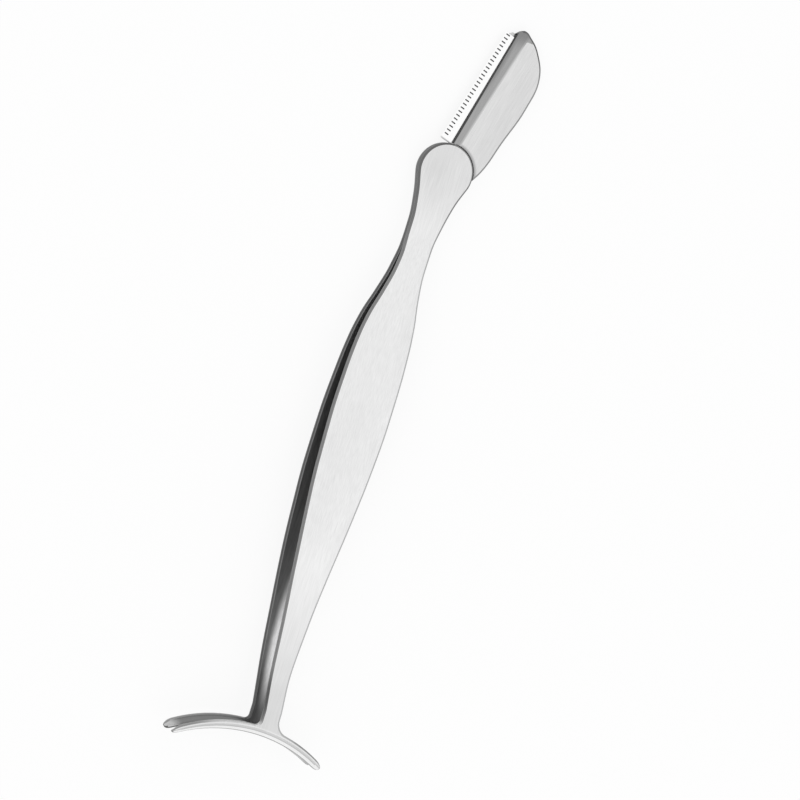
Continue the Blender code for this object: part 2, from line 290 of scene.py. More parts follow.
def finish_mesh(piece):
    """Merges doubles and points all faces outwards."""
    edit(piece)
    bpy.ops.mesh.select_all(action="SELECT")
    bpy.ops.mesh.remove_doubles(threshold=0.0005 * MM)
    face_outwards()
    fresh()


def apply_modifier(piece, kind, **settings):
    take(piece)
    added = piece.modifiers.new(kind.lower(), kind)
    for name, value in settings.items():
        setattr(added, name, value)
    bpy.ops.object.modifier_apply(modifier=added.name)


def apply_place():
    """Moves the selected object's place into its mesh, and leaves the object at the origin."""
    bpy.ops.object.transform_apply(location=True, rotation=True, scale=True)


def lay_down(piece):
    """Puts a finished mesh where the tool lies."""
    take(piece)
    apply_place()
    piece.matrix_world = tool_place
    apply_place()

# %% [markdown]
# ## The round head
# The head is a flat disc with tumbled edges, where the two arms are welded together. It could be drawn with
# the rest of the outline, but as a cylinder it is truly round. Both rims are bevelled round, and a bisect
# cuts the disc open where the neck begins, so that the neck can be pulled out of it.

# %% Disc of the front arm
segments = 60
rim_steps = 3
fresh()
bpy.ops.mesh.primitive_cylinder_add(
    vertices=segments, radius=head_radius * MM, depth=sheet * MM, end_fill_type="NGON",
    location=(head_x * MM, head_y * MM, (head_top - sheet / 2) * MM))
front_arm = bpy.context.object
front_arm.name = "front_arm_steel"
apply_place()
edit(front_arm)
pick("edges", lambda e: abs(along(e).z) < 0.01)
bpy.ops.mesh.bevel(offset=arris * MM, segments=rim_steps, profile=0.5, affect="EDGES")
(left_x, left_y), (right_x, right_y) = join_points
slice_off((left_x, left_y, 0), (right_y - left_y, left_x - right_x, 0))
print("ring of", pick("edges", lambda e: e.is_boundary), "edges where the neck starts")

# %% [markdown]
# ## Pulling the sheet row by row
# Extruding the open ring, again and again, draws the sheet down the tool. Scaling each new row would thin
# the rounds of the edges with the width. Instead each row has a left and a right half, and each half
# follows its own edge of the outline, so the rounds keep their size everywhere.


# %% One row
def pull_row(moves, turns=(0.0, 0.0), pivots=None):
    """Extrudes the selected ring, then moves its left and right half, and turns them about their pivots."""
    bpy.ops.mesh.extrude_region_move(TRANSFORM_OT_translate={"value": (0, 0, 0)})
    piece = bpy.context.object
    bm = bmesh.from_edit_mesh(piece.data)
    bm.verts.ensure_lookup_table()
    ring = [v.index for v in bm.verts if v.select]
    middle = sum(bm.verts[i].co.x for i in ring) / len(ring)
    halves = ([i for i in ring if bm.verts[i].co.x < middle], [i for i in ring if bm.verts[i].co.x > middle])
    for side in (0, 1):
        chosen = set(halves[side])
        pick("verts", lambda v: v.index in chosen)
        bpy.ops.transform.translate(value=Vector(moves[side]) * MM)
        if turns[side]:
            # without a window this operator turns clockwise for a positive angle
            bpy.ops.transform.rotate(value=turns[side], orient_axis="Z", center_override=pivots[side])
    chosen = set(ring)
    pick("verts", lambda v: v.index in chosen)


def step_between(before, after):
    """How far the left and the right half move from one row to the next."""
    return [Vector(b) - Vector(a) for a, b in zip(before, after)]

# %% [markdown]
# ## Neck and handle
# The neck and the handle are one strip between the two edges of the outline. A row every 0.7 mm is close
# enough for the waist and the swing of the handle to look smooth.

# %% Rows down to the ankle
row_step = 0.7
top_row = math.floor(min(left_y, right_y)) - 0.5
rows = [top_row - k * row_step for k in range(math.floor((top_row - ankle_y) / row_step) + 1)] + [ankle_y]
bm = bmesh.from_edit_mesh(front_arm.data)
ring = {v.index for v in bm.verts if any(e.is_boundary for e in v.link_edges)}
pick("verts", lambda v: v.index in ring)
before = ((left_x, left_y, head_top), (right_x, right_y, head_top))
for y in rows:
    after = tuple((edge_at(side, y), y, smooth(splay, y)) for side in (0, 1))
    pull_row(step_between(before, after))
    before = after
print("rows:", len(rows))

# %% [markdown]
# ## Fillets at the ankle
# The handle runs into the jaw through two fillets, a tight one on the left and a wide one on the right. A
# few more rows turn each half of the ring outwards about its own edge, until it looks along the curve of
# the jaw. The jaw slopes there, so the foot of each fillet is found step by step: its place sets the slope,
# and the slope its place.

# %% Feet of the fillets
fillets = (0.7, 2.2)
fillet_steps = 8


def foot(side):
    """Where a fillet meets the jaw, and how far it turns until it looks along the jaw's curve."""
    outwards = (-1, 1)[side]
    x = edge_at(side, ankle_y)
    for _ in range(8):
        fall = math.asin(outwards * (x - jaw_x) / jaw_radius)
        x = edge_at(side, ankle_y) + outwards * fillets[side] * (1 - math.sin(fall))
    return x, math.radians(90) - fall


feet, full_turns = zip(foot(0), foot(1))
foot_tops = tuple(lip_line(x) + strip_height(x) for x in feet)
print("feet at", [round(x, 2) for x in feet], "turned by", [round(math.degrees(t), 1) for t in full_turns])


# %% Fillet rows
def fillet_point(side, share):
    """A point of a fillet, after a share of its turn."""
    outwards, radius, turn = (-1, 1)[side], fillets[side], full_turns[side] * share
    x = edge_at(side, ankle_y) + outwards * radius * (1 - math.cos(turn))
    return x, foot_tops[side] + radius * (math.sin(full_turns[side]) - math.sin(turn)), jaw_height


for k in range(fillet_steps):
    after = (fillet_point(0, k / fillet_steps), fillet_point(1, k / fillet_steps))
    angles = [turn / fillet_steps if k else 0.0 for turn in full_turns]
    pull_row(step_between(before, after), (angles[0], -angles[1]), [Vector(p) * MM for p in after])
    before = after
fresh()
print("fillet rows:", fillet_steps)

# %% [markdown]
# ## Section of the jaw
# The jaw is a strip whose lower part is bent inwards as a lip, with a narrow ground land that holds the
# lash. A bent strip could be an extruded curve, but its rounds differ from corner to corner. So the section
# is drawn as one face with a vertex for each corner, and vertex bevels then make the round of the bend and
# of the edges.

# %% Draw the section
lip_depth, lip_edge = 0.95, 1.75
# height of the lip's lowest strip, which gets a painted shade line
lip_shade_strip = 0.22
land, land_start, land_end = 1.2, 0.42, 0.85
inner_bend = 1.40
strip_top = strip_height(feet[0])
# height above the lip's line, distance from the plane between the arms, width and steps of the round
section = (
    (strip_top, jaw_height, arris, rim_steps),
    (lip_depth, jaw_height, 0.42, 4),
    (lip_shade_strip, lip_edge + lip_shade_strip / lip_depth * (jaw_height - lip_edge), 0.0, 0),
    (0.0, lip_edge, 0.16, 3),
    (land_start, land, 0.08, 1),
    (land_end, land, 0.08, 1),
    (inner_bend, jaw_height - sheet, 0.0, 0),
    (strip_top, jaw_height - sheet, arris, rim_steps),
)
fresh()
bpy.ops.mesh.primitive_circle_add(vertices=len(section), radius=MM, fill_type="NGON")
jaw = bpy.context.object
jaw.name = "jaw_strip"
corners = [Vector((feet[0], lip_line(feet[0]) + above, z)) * MM for above, z, _, _ in section]
starts = [vertex.co.copy() for vertex in jaw.data.vertices]
edit(jaw)
for index, (start, corner) in enumerate(zip(starts, corners)):
    pick("verts", lambda v: v.index == index)
    bpy.ops.transform.translate(value=corner - start)
for corner, (_, _, rounding, steps) in zip(corners, section):
    if rounding:
        pick("verts", lambda v: (v.co - corner).length < hair * MM)
        bpy.ops.mesh.bevel(offset=rounding * MM, segments=steps, profile=0.5, affect="VERTICES")
bpy.ops.mesh.select_all(action="SELECT")
print("section has", len(bmesh.from_edit_mesh(jaw.data).verts), "points")

# %% [markdown]
# ## Pulling the section along the eyelid
# The section is pulled sideways along the curve, step by step, and keeps the strip's own height at each
# step. At the tips it is squeezed to a round nose, in steps that follow a quarter circle. The squeeze is
# centred on a line a little above or below the middle of the strip, because the left and right noses droop
# differently.

# %% One step along the curve
nose_steps = (0.35, 0.6, 0.8, 0.92, 0.985)
nose_lines = (0.50, 0.55)
nose_level = 2.1


def pull_section(x, x_next, squeeze=1.0):
    """Pulls the selected end face on to x_next, along the curve, keeping the strip's own height there."""
    rise = lip_line(x_next) - lip_line(x)
    bpy.ops.mesh.extrude_region_move(TRANSFORM_OT_translate={"value": ((x_next - x) * MM, rise * MM, 0)})
    ratio = strip_height(x_next) / strip_height(x)
    bpy.ops.transform.resize(value=(1, ratio, 1), center_override=(x_next * MM, lip_line(x_next) * MM, 0))
    if squeeze < 1.0:
        middle = lip_line(x_next) + nose_lines[x_next > jaw_x] * strip_height(x_next)
        bpy.ops.transform.resize(value=(1, squeeze, (1 + squeeze) / 2),
                                 center_override=(x_next * MM, middle * MM, nose_level * MM))


def pull_evenly(start, end, steps):
    for k in range(steps):
        pull_section(start + (end - start) * k / steps, start + (end - start) * (k + 1) / steps)


print("a nose has", len(nose_steps), "steps")

# %% [markdown]
# ## Middle and wings
# The middle of the jaw lies under the ankle. The right wing goes on from its end face, and the left wing
# from the face where the section was drawn. The strip is then opened along its top under the ankle, for the
# handle.

# %% Pull the middle and both wings
middle_steps = 6
wing_steps = 9


def pull_wing(foot, sign):
    """Pulls a wing from its foot to its tip. The sign is -1 for the left wing and 1 for the right one."""
    end = jaw_x + sign * nose_start
    pull_evenly(foot, end, wing_steps)
    x, size = end, 1.0
    for u in nose_steps:
        x_next = end + sign * (jaw_half_length - nose_start) * u
        new_size = math.sqrt(1 - u * u)
        pull_section(x, x_next, new_size / size)
        x, size = x_next, new_size


pull_evenly(feet[0], feet[1], middle_steps)
pull_wing(feet[1], 1)
pick("faces", lambda f: abs(spot(f).x - feet[0]) < 0.001 and abs(f.normal.x) > 0.9)
pull_wing(feet[0], -1)
face_outwards()
print("jaw has", len(bmesh.from_edit_mesh(jaw.data).faces), "faces")

# %% Open the strip for the handle
opening_above, opening_outside = 1.35, 2.2
opened = pick("faces", lambda f: feet[0] + hair < spot(f).x < feet[1] - hair and f.normal.y > 0.1
              and spot(f).z > opening_outside and spot(f).y > lip_line(spot(f).x) + opening_above)
bpy.ops.mesh.delete(type="FACE")
fresh()
print("faces opened for the handle:", opened)

# %% [markdown]
# ## Joining handle and jaw
# Both are made of the same sheet, so they become one mesh. A boolean union would leave a seam of slivers
# where two curved skins meet. Here the rounds of the fillets are bridged to the rounds of the jaw instead,
# and the flat faces between them are filled.

# %% Bridge the rounds
front_arm.select_set(True)
jaw.select_set(True)
bpy.context.view_layer.objects.active = front_arm
bpy.ops.object.join()
edit(front_arm)
join_reach, join_drop = 1.2, 0.25
middle_x = (feet[0] + feet[1]) / 2
last_share = (fillet_steps - 1) / fillet_steps


def at_join(e, side):
    """Whether an open edge is on the end of a fillet, or on the jaw's round at its foot."""
    p = place(e)
    if not e.is_boundary or (p.x > middle_x) != bool(side):
        return False
    at_foot = abs(p.x - feet[side]) < hair
    across_sheet = abs(along(e).x) < 0.9
    near = (p - Vector(fillet_point(side, last_share))).length < join_reach
    on_ring = p.y > foot_tops[side] - join_drop and near and not at_foot
    return at_foot or (on_ring and across_sheet)


for side in (0, 1):
    print("edges to bridge:", pick("edges", lambda e: at_join(e, side)))
    bpy.ops.mesh.bridge_edge_loops()

# %% Fill the flat faces
# the last rows' flat faces would lie over the curved jaw, so the fill takes their place
fill_share = 0.45
fill_top = (fillet_point(0, fill_share)[1] + fillet_point(1, fill_share)[1]) / 2
row_width = 2.5
pick("faces", lambda f: abs(f.normal.z) > 0.98 and spot(f).y < fill_top
     and max(e.calc_length() for e in f.edges) > row_width * MM)
bpy.ops.mesh.delete(type="FACE")
pick("edges", lambda e: e.is_boundary)
bpy.ops.mesh.fill_holes(sides=0)
finish_mesh(front_arm)
edit(front_arm)
print("open edges left:", pick("edges", lambda e: e.is_boundary), "faces:", len(front_arm.data.polygons))
fresh()

# %% [markdown]
# ## Finishes
# All the metal is stainless steel, but it has several finishes. The outer faces are brushed lengthwise and
# look almost white. The blanked edges are duller, and the inner faces were never brushed; both are also
# painted darker, as painted shade for the dark that they mirror.
# Brushing is long thin scratches. They could be a picture, but a noise that is stretched along the tool
# needs none, and it drives the tone, the gloss and a fine bump alike.


# %% Shader nodes
def node(tree, kind, inputs, **settings):
    """Adds a shader node, and sets each input to a plain value or links it to an output."""
    made = tree.nodes.new("ShaderNode" + kind)
    for name, value in settings.items():
        setattr(made, name, value)
    for name, value in inputs.items():
        if isinstance(value, bpy.types.NodeSocket):
            tree.links.new(value, made.inputs[name])
        else:
            made.inputs[name].default_value = value
    return made


def spread(tree, source, low, high, between=(0.3, 0.7), soft="LINEAR"):
    """Maps what lies between two levels onto low and high."""
    levels = {"From Min": between[0], "From Max": between[1], "To Min": low, "To Max": high}
    return node(tree, "MapRange", {"Value": source, **levels}, interpolation_type=soft).outputs["Result"]


def noise(tree, where, scale, detail):
    """Noise that is drawn out along the axes with a small scale."""
    stretched = node(tree, "Mapping", {"Vector": where, "Scale": scale}).outputs["Vector"]
    return node(tree, "TexNoise", {"Vector": stretched, "Scale": 1.0, "Detail": detail}).outputs["Fac"]

# %% [markdown]
# ## Patches of another tone
# A finish isn't even, and most patches here are painted light and shade: darker tone at the ankle, round the
# head, in corners and between the arms, and lighter streaks and arrises where light would fall.
# Painting a mask would need a picture. A patch here is a soft ellipsoid in space: all of the surface inside
# it takes the patch's tone.


# %% Soft patch
def inside_patch(tree, where, at, radii, turn, full_at=0.8):
    """0 outside an ellipsoid, rising softly to 1 at a share of the way in."""
    local = node(tree, "Mapping", {
        "Vector": where, "Location": on_table(*at), "Rotation": (0, 0, math.radians(turn)),
        "Scale": Vector(radii) * MM}, vector_type="TEXTURE").outputs["Vector"]
    ball = node(tree, "TexGradient", {"Vector": local}, gradient_type="SPHERICAL").outputs["Fac"]
    return spread(tree, ball, 0.0, 1.0, (0.0, full_at), "SMOOTHSTEP")

# %% [markdown]
# ## Brushed steel
# Stainless steel is a metal with a grey tone, and its roughness decides how blurred the studio is in it.
# Along each scratch the tone and the roughness vary together. A second, coarser noise adds the faint clouds
# of handling.

# %% Steel
scratch_grain, scratch_detail = (9000, 160, 9000), 6
cloud_grain, cloud_detail = (180, 60, 180), 3
scratch_relief, scratch_depth = 0.08, 0.00002


def steel(name, tone, roughness, scratch=0.06, turn=0.0, clouds=0.03, patches=()):
    """Stainless steel with scratches along Y, turned about Z by turn, and soft patches of another tone.

    A patch is (place in the tool's frame, three radii, turn in degrees, tone), with lengths in millimetres.
    Its border is soft, unless a fifth value gives the share of the way in at which it reaches its full tone.
    """
    made = bpy.data.materials.new(name)
    made.use_nodes = True
    tree = made.node_tree
    where = node(tree, "TexCoord", {}).outputs["Object"]
    turned = node(tree, "Mapping", {"Vector": where, "Rotation": (0, 0, turn)}).outputs["Vector"]
    scratches = noise(tree, turned, scratch_grain, scratch_detail)
    cloudy = noise(tree, turned, cloud_grain, cloud_detail)

    def scratched(level):
        return spread(tree, scratches, level * (1 - scratch), level * (1 + scratch))

    base = scratched(tone)
    for at, radii, patch_turn, patch_tone, *full_at in patches:
        inside = inside_patch(tree, where, at, radii, patch_turn, *full_at)
        base = node(tree, "Mix", {"Factor": inside, "A": base, "B": scratched(patch_tone)}).outputs["Result"]
    cloud_level = spread(tree, cloudy, 1 - clouds, 1 + clouds)
    shade = node(tree, "Math", {0: base, 1: cloud_level}, operation="MULTIPLY")
    grey = node(tree, "CombineColor", dict.fromkeys(("Red", "Green", "Blue"), shade.outputs["Value"]))
    relief = node(tree, "Bump", {"Strength": scratch_relief, "Distance": scratch_depth, "Height": scratches})
    shader = tree.nodes["Principled BSDF"]
    shader.inputs["Metallic"].default_value = 1.0
    tree.links.new(grey.outputs["Color"], shader.inputs["Base Color"])
    tree.links.new(spread(tree, scratches, roughness * 0.85, roughness * 1.15), shader.inputs["Roughness"])
    tree.links.new(relief.outputs["Normal"], shader.inputs["Normal"])
    return made


print("scratches are", scratch_grain[0] // scratch_grain[1], "times as long as they are wide")

# %% [markdown]
# ## Finishes of the arms
# An arm has nine finishes: its brushed face, the blanked edge, the unbrushed inside, the tumbled arrises,
# the arrises on the lit side, and the parts of the jaw, each at its own slant. They could all be one steel
# under strong lamps, but in a white studio every slant mirrors white, so each finish gets a tone of its own:
# painted light and shade, set by which way it looks.

# %% Patches and finishes of the arms
# painted shade: darker arrises and faces round the head, and a darker face at the ankle
head_shade_patch = (head_x, head_y + 2, 0), (12, 20, 12), 0
painted_shade_head = (head_x, head_y + 2, 0), (14, 13, 30), 0, 0.71
painted_shade_ankle = (0.5, 5.0, 0), (12, 26, 60), 0, 0.63
# painted reflection: a bright streak on the rear arm's inside, beside the front arm's edge
painted_reflection_streak = (-0.42, 17.8, 0), (1.35, 12.6, 60), 3.4, 0.93
# painted shade: the inside near the ankle and the front arm's left edge there are painted darker
painted_shade_inside = (-0.8, 8.0, -3), (3.5, 9.0, 5), 0, 0.12
painted_shade_band = (-1.0, 9.5, 3), (2.5, 5.0, 4), 0, 0.11
# painted light: a lighter tone on the rear lip's edge where it shows below the front jaw
painted_light_rear_lip = (7.0, 1.5, -2), (7, 5, 4), 0, 0.60
# painted light: lighter tones on the left wing's upper arris, the arris by the right foot, the inside of the
# left tip and the left fillet's edge
painted_light_wing_arris = (-5.0, 4.2, 3), (7.5, 4.0, 2), 0, 0.62
painted_light_foot_arris = (feet[1], foot_tops[1], 3), (3.0, 2.5, 3), 0, 0.44
painted_light_tip = (-13.8, 0.4, 0), (2.6, 2.4, 60), 0, 0.55
painted_light_left_fillet = (-1.7, 4.6, 3.0), (1.3, 1.5, 4), 0, 0.70
# Besides the real finish, these tones are painted light and shade by slant: the blanked edge, the inside, the
# tumbled arrises, the jaw face, the bend and the lip's lowest strip darker, the lit arrises and the lip
# lighter.
finishes = {
    "face": steel("brushed_face", 0.79, 0.34, patches=[painted_shade_head, painted_shade_ankle]),
    "edge": steel("blanked_edge_painted_shade", 0.23, 0.42, scratch=0.15,
                  patches=[(*head_shade_patch, 0.14), painted_shade_band, painted_light_left_fillet]),
    "inside": steel("unbrushed_inside_painted_shade", 0.22, 0.40, scratch=0.12,
                    patches=[painted_shade_inside, painted_reflection_streak, painted_light_tip]),
    "lit_arris": steel("painted_light_arris", 0.46, 0.40, scratch=0.10, patches=[(*head_shade_patch, 0.16)]),
    "outline": steel("tumbled_arris_painted_shade", 0.30, 0.40, scratch=0.12,
                     patches=[(*head_shade_patch, 0.23), painted_light_wing_arris, painted_light_foot_arris]),
    "jaw": steel("jaw_face_painted_shade", 0.66, 0.36),
    "bend": steel("lip_bend_painted_shade", 0.53, 0.38, scratch=0.10),
    "lip": steel("lip_face_painted_light", 0.88, 0.34),
    "lip_arris_painted_shade": steel("lip_arris_painted_shade", 0.42, 0.40, scratch=0.12),
}
# painted shade: the rear arm's blanked edge is darker, as it lies in the front arm's shade
rear_edge_in_shade = steel("painted_shade_rear_blank", 0.11, 0.42, scratch=0.15, patches=[(*head_shade_patch, 0.20), painted_light_rear_lip])
print("finishes of the arms:", len(finishes) + 1)

# %% [markdown]
# ## Which face has which finish
# A face's finish follows from where it lies on the stamping and which way it looks. On the jaw, the test
# undoes the lowering of the wings and the squeeze of the noses first, so the borders between two finishes
# run on to the tips along the same edges of the section.

# %% Height on the section
tip_margin = 0.1


def section_height(p):
    """Height of a place above the lip's line, before the wings and the noses drew the section in."""
    reach = jaw_half_length - tip_margin
    x = min(max(p.x, jaw_x - reach), jaw_x + reach)
    above = p.y - lip_line(x)
    u = (abs(x - jaw_x) - nose_start) / (jaw_half_length - nose_start)
    if u > 0:
        middle = nose_lines[x > jaw_x] * strip_height(x)
        above = middle + (above - middle) / math.sqrt(1 - u * u)
    return above * strip_top / strip_height(x)


print("the section is", round(strip_top, 2), "mm high at the left foot")

# %% Finish of each face
lip_zone, inner_lip_zone, strip_zone = 1.3, 1.4, 1.9


def jaw_region(above, up_tool, outwards):
    """Finish of a face of the lip, by its height on the section and where it looks."""
    # painted light and shade by slant: the lip's lowest strip and the bend darker, the lip lighter
    if above < lip_shade_strip * 0.9 and up_tool < 0:
        return "lip_arris_painted_shade"
    if up_tool < -0.1 and 0.62 < outwards < 0.97:
        return "bend"
    if outwards > 0.97:
        return "jaw"
    return "lip" if outwards > 0.4 else "edge"


def arm_region(face):
    """Finish of a face of an arm, by where it lies and where it looks."""
    n, p = face.normal, spot(face)
    above = section_height(p)
    on_wing = p.x < feet[0] or p.x > feet[1]
    across = math.hypot(n.y, n.z)
    up_tool, outwards = (n.y / across, n.z / across) if across > 0.3 else (0.0, 0.0)
    if n.z < -0.93 or (above < inner_lip_zone and up_tool > 0.25 and outwards < -0.2):
        return "inside"
    if above < lip_zone and (on_wing or up_tool <= 0.1 or outwards <= -0.8):
        return jaw_region(above, up_tool, outwards)
    if above < strip_zone and on_wing:
        return "outline" if outwards < 0.97 else "jaw"
    if n.z > 0.97:
        return "face"
    if p.y > head_y - 1 and p.x > head_x:
        return "outline"
    # the arrises that look to the right, towards the light, take the lighter tone, a painted light
    by_right_foot = p.y < ankle_y and p.x > edge_at(1, ankle_y)
    return "lit_arris" if n.z > 0.2 and (n.x > 0.1 or by_right_foot) else "edge"


def paint(piece, finishes, region):
    """Gives each face the finish of its region, and says how many faces each finish has."""
    piece.data.materials.clear()
    count = {}
    for word, finish in finishes.items():
        piece.data.materials.append(finish)
        edit(piece, "FACE")
        count[word] = pick("faces", lambda f: region(f) == word)
        piece.active_material_index = len(piece.data.materials) - 1
        if count[word]:
            bpy.ops.object.material_slot_assign()
        fresh()
    return count


print("faces by finish:", paint(front_arm, finishes, arm_region))

# %% [markdown]
# ## The rear arm
# The rear arm is the same stamping turned over. It could be modelled again, but a mirrored copy with a mesh
# of its own is sure to match. Mirroring turns the faces inside out, so they are pointed outwards again.
# Only its blanked edge is painted darker, as painted shade, because it lies in the shade of the front arm.

# %% Mirror the arm
take(front_arm)
bpy.ops.object.duplicate()
rear_arm = bpy.context.object
rear_arm.name = "rear_arm_steel"
rear_arm.material_slots[list(finishes).index("edge")].material = rear_edge_in_shade
edit(rear_arm)
bpy.ops.mesh.select_all(action="SELECT")
bpy.ops.transform.resize(value=(1, 1, -1), center_override=(0, 0, 0))
face_outwards()
fresh()
print("rear arm has", len(rear_arm.data.polygons), "faces")

# %% [markdown]
# ## Laying the arms down
# The imported model turns each arm on a hinge at the neck, which stands for the spring of the sheet. Cut
# there, the sheet would show a crack in each squeeze, so each arm is one piece. It is shaded smoothly, laid
# down where the tool lies, and the imported head and arm that it stands for are hidden.


def smooth_shade(piece, angle=40):
    """Rounds shade smoothly, and broad flat faces keep their own slant."""
    take(piece)
    bpy.ops.object.shade_smooth_by_angle(angle=math.radians(angle))
    apply_modifier(piece, "WEIGHTED_NORMAL", mode="FACE_AREA", weight=100, keep_sharp=True)


for piece, word, side in ((front_arm, "front", 1), (rear_arm, "rear", -1)):
    smooth_shade(piece)
    lay_down(piece)
    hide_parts(word + "_head", word + "_arm")
    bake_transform(piece)

# %% [markdown]
# ## Blade holder
# The holder is a small steel blade shape with a straight mouth along one side. Its outline could be cut
# from a box, but its back is one free curve from the tip to the heads. So the outline is drawn as a smooth
# curve with corners where the mouth ends, filled, and pulled to its thickness. It is drawn along its own
# mouth: the first number of a knot runs along the mouth, and the second across it.

# %% Outline of the holder
mouth_x, mouth_y = 2.05, 99.86
mouth_lean = math.radians(14.6)
holder_thickness = 1.5
# along the mouth, across it, and whether the curve runs round through this knot
holder_outline = (
    (-5.2, 0.0, False), (19.2, 0.0, False), (20.2, -0.95, True), (19.75, -2.5, True), (18.45, -4.55, True),
    (15.2, -7.04, True), (10.0, -7.65, True), (3.5, -7.13, True), (-2.0, -6.65, True), (-5.2, -5.6, False),
)
fresh()
bpy.ops.curve.primitive_bezier_circle_add(radius=MM)
holder = bpy.context.object
holder.name = "blade_holder_steel"
holder.data.dimensions = "2D"
holder.data.fill_mode = "BOTH"
holder.data.resolution_u = 16
spline = holder.data.splines[0]
spline.bezier_points.add(len(holder_outline) - len(spline.bezier_points))
for knot, (u, v, is_round) in zip(spline.bezier_points, holder_outline):
    knot.co = Vector((u, v, 0)) * MM
    knot.handle_left_type = knot.handle_right_type = "AUTO" if is_round else "VECTOR"
bpy.ops.object.convert(target="MESH")
holder = bpy.context.object
print("filled outline has", len(holder.data.vertices), "points")

# %% Thickness of the holder
edit(holder)
bpy.ops.mesh.select_all(action="SELECT")
bpy.ops.mesh.remove_doubles(threshold=0.002 * MM)
bpy.ops.mesh.dissolve_limited(angle_limit=math.radians(0.2))
bpy.ops.transform.translate(value=(0, 0, -holder_thickness / 2 * MM))
bpy.ops.mesh.extrude_region_move(TRANSFORM_OT_translate={"value": (0, 0, holder_thickness * MM)})
face_outwards()
print("outline has", len(bmesh.from_edit_mesh(holder.data).verts) // 2, "points")

# %% [markdown]
# ## Bevels of the holder
# Both sides of the holder are ground down towards the mouth, and round its tip. An edge bevel would follow
# the outline and keep one width, but the real one is a flat grind, a little skew. So each grind is a
# slanted bisect: one along the mouth and three that turn round the tip, on each side.

# %% Grind the bevels
slit_width = 0.7
mouth_leaf = 0.2
mouth_bevel, bevel_skew = 1.42, math.radians(1.7)
bevel_drop = holder_thickness / 2 - slit_width / 2 - mouth_leaf
bevel_slope = math.atan2(bevel_drop, 1.65)
# a point on the bevel's inner border, and the turn of the grind in degrees
bevels = (
    ((0, -mouth_bevel), 90 - math.degrees(bevel_skew)),
    ((18.65, -1.98), 62), ((18.90, -2.15), 40), ((18.97, -2.5), 18),
)
for side in (1, -1):
    for at, turn in bevels:
        aside = math.sin(bevel_slope) * Vector((math.cos(math.radians(turn)), math.sin(math.radians(turn))))
        slice_off((*at, side * holder_thickness / 2), (*aside, side * math.cos(bevel_slope)), fill=True)
print("bevels slope by", round(math.degrees(bevel_slope), 1), "degrees")

# %% [markdown]
# ## Edges of the holder
# The mouth has a small chamfer on each side, and the rest of the outline is tumbled round. The border of
# each grind ends on the tip's outline, close beside other points. The rounding would fold over itself there,
# so the short edges beside these ends are closed first.

# %% Chamfer the mouth
chamfer_start, chamfer_facing = 0.42, (0.60, 0.80)
mouth_band, tip_start = -0.45, 17
for side in (1, -1):
    slice_off((0, 0, side * chamfer_start), (0, chamfer_facing[0], side * chamfer_facing[1]), fill=True)


def is_border_end(v):
    """Whether the border of a grind ends at this point of the tip's outline."""
    on_tip = v.co.x / MM > tip_start and v.co.y / MM < mouth_band
    upright = any(abs(along(e).z) > 0.9 for e in v.link_edges)
    return on_tip and not upright and any(slant(e) > 60 for e in v.link_edges)


border_ends = [v.co.copy() for v in bmesh.from_edit_mesh(holder.data).verts if is_border_end(v)]
print("borders that end on the tip:", len(border_ends))

# %% Close the short edges and round the outline
crowded = 0.2
outline_round, outline_steps = 0.33, 3
hidden_end = -5


def beside_an_end(e):
    """Whether both ends of an edge lie close to the end of a border."""
    return any(all((v.co - end).length < crowded * MM for v in e.verts) for end in border_ends)


print("short edges closed:", pick("edges", beside_an_end))
bpy.ops.mesh.merge(type="COLLAPSE")
rounded = pick("edges", lambda e: slant(e) > 60 and abs(along(e).z) < 0.5
               and place(e).y < mouth_band and place(e).x > hidden_end)
bpy.ops.mesh.bevel(offset=outline_round * MM, segments=outline_steps, profile=0.5, affect="EDGES",
                   clamp_overlap=False, loop_slide=False)
fresh()
finish_mesh(holder)
print("edges rounded:", rounded)

# %% [markdown]
# ## Slit and seat
# The mouth is a deep slit in which the blade and the guard sit, and the holder's lower end is cut round
# where it butts against the heads. Both are cut with plain shapes: a box for the slit, and a cylinder on
# the heads' own axis for the seat. The cylinder is a hair wider than the heads, so that the pieces don't
# touch.


# %% Boxes and cutters
def box(name, low, high):
    """A box between two corners, in millimetres."""
    fresh()
    bpy.ops.mesh.primitive_cube_add(size=1)
    made = bpy.context.object
    made.name = name
    made.scale = (Vector(high) - Vector(low)) * MM
    made.location = (Vector(high) + Vector(low)) / 2 * MM
    apply_place()
    return made


def cut(piece, other):
    """Cuts other out of piece, and deletes it."""
    apply_modifier(piece, "BOOLEAN", operation="DIFFERENCE", object=other, solver="EXACT")
    bpy.data.objects.remove(other)

# %% Cut the slit and the seat
slit_depth, slit_end = 4.2, 19.1
past_heads, past_mouth = 8, 2
seat_gap, seat_segments = 0.08, 96
holder_place = Matrix.Translation(Vector((mouth_x, mouth_y, 0)) * MM) @ Matrix.Rotation(
    math.radians(90) - mouth_lean, 4, "Z")

cut(holder, box("slit", (-past_heads, -slit_depth, -slit_width / 2), (slit_end, past_mouth, slit_width / 2)))
fresh()
bpy.ops.mesh.primitive_cylinder_add(
    vertices=seat_segments, radius=(head_radius + seat_gap) * MM, depth=5 * MM,
    location=Vector((head_x, head_y, 0)) * MM)
seat = bpy.context.object
apply_place()
seat.data.transform(holder_place.inverted())
cut(holder, seat)
finish_mesh(holder)
print("holder has", len(holder.data.polygons), "faces")

# %% [markdown]
# ## Finish of the holder
# The holder's face is brushed along its mouth, and a dark ring beside the heads is a painted contact
# shadow. The bevel is ground, with painted shade along the mouth and towards its tip, and a painted
# highlight where it meets the face. The outline is painted darker, more so by the tip, as painted shade.
# The slit and the mouth's edge are painted almost black, as painted shade, because no light comes back from
# them. The wall of the seat is painted light, so that the gap beside the heads doesn't read black.

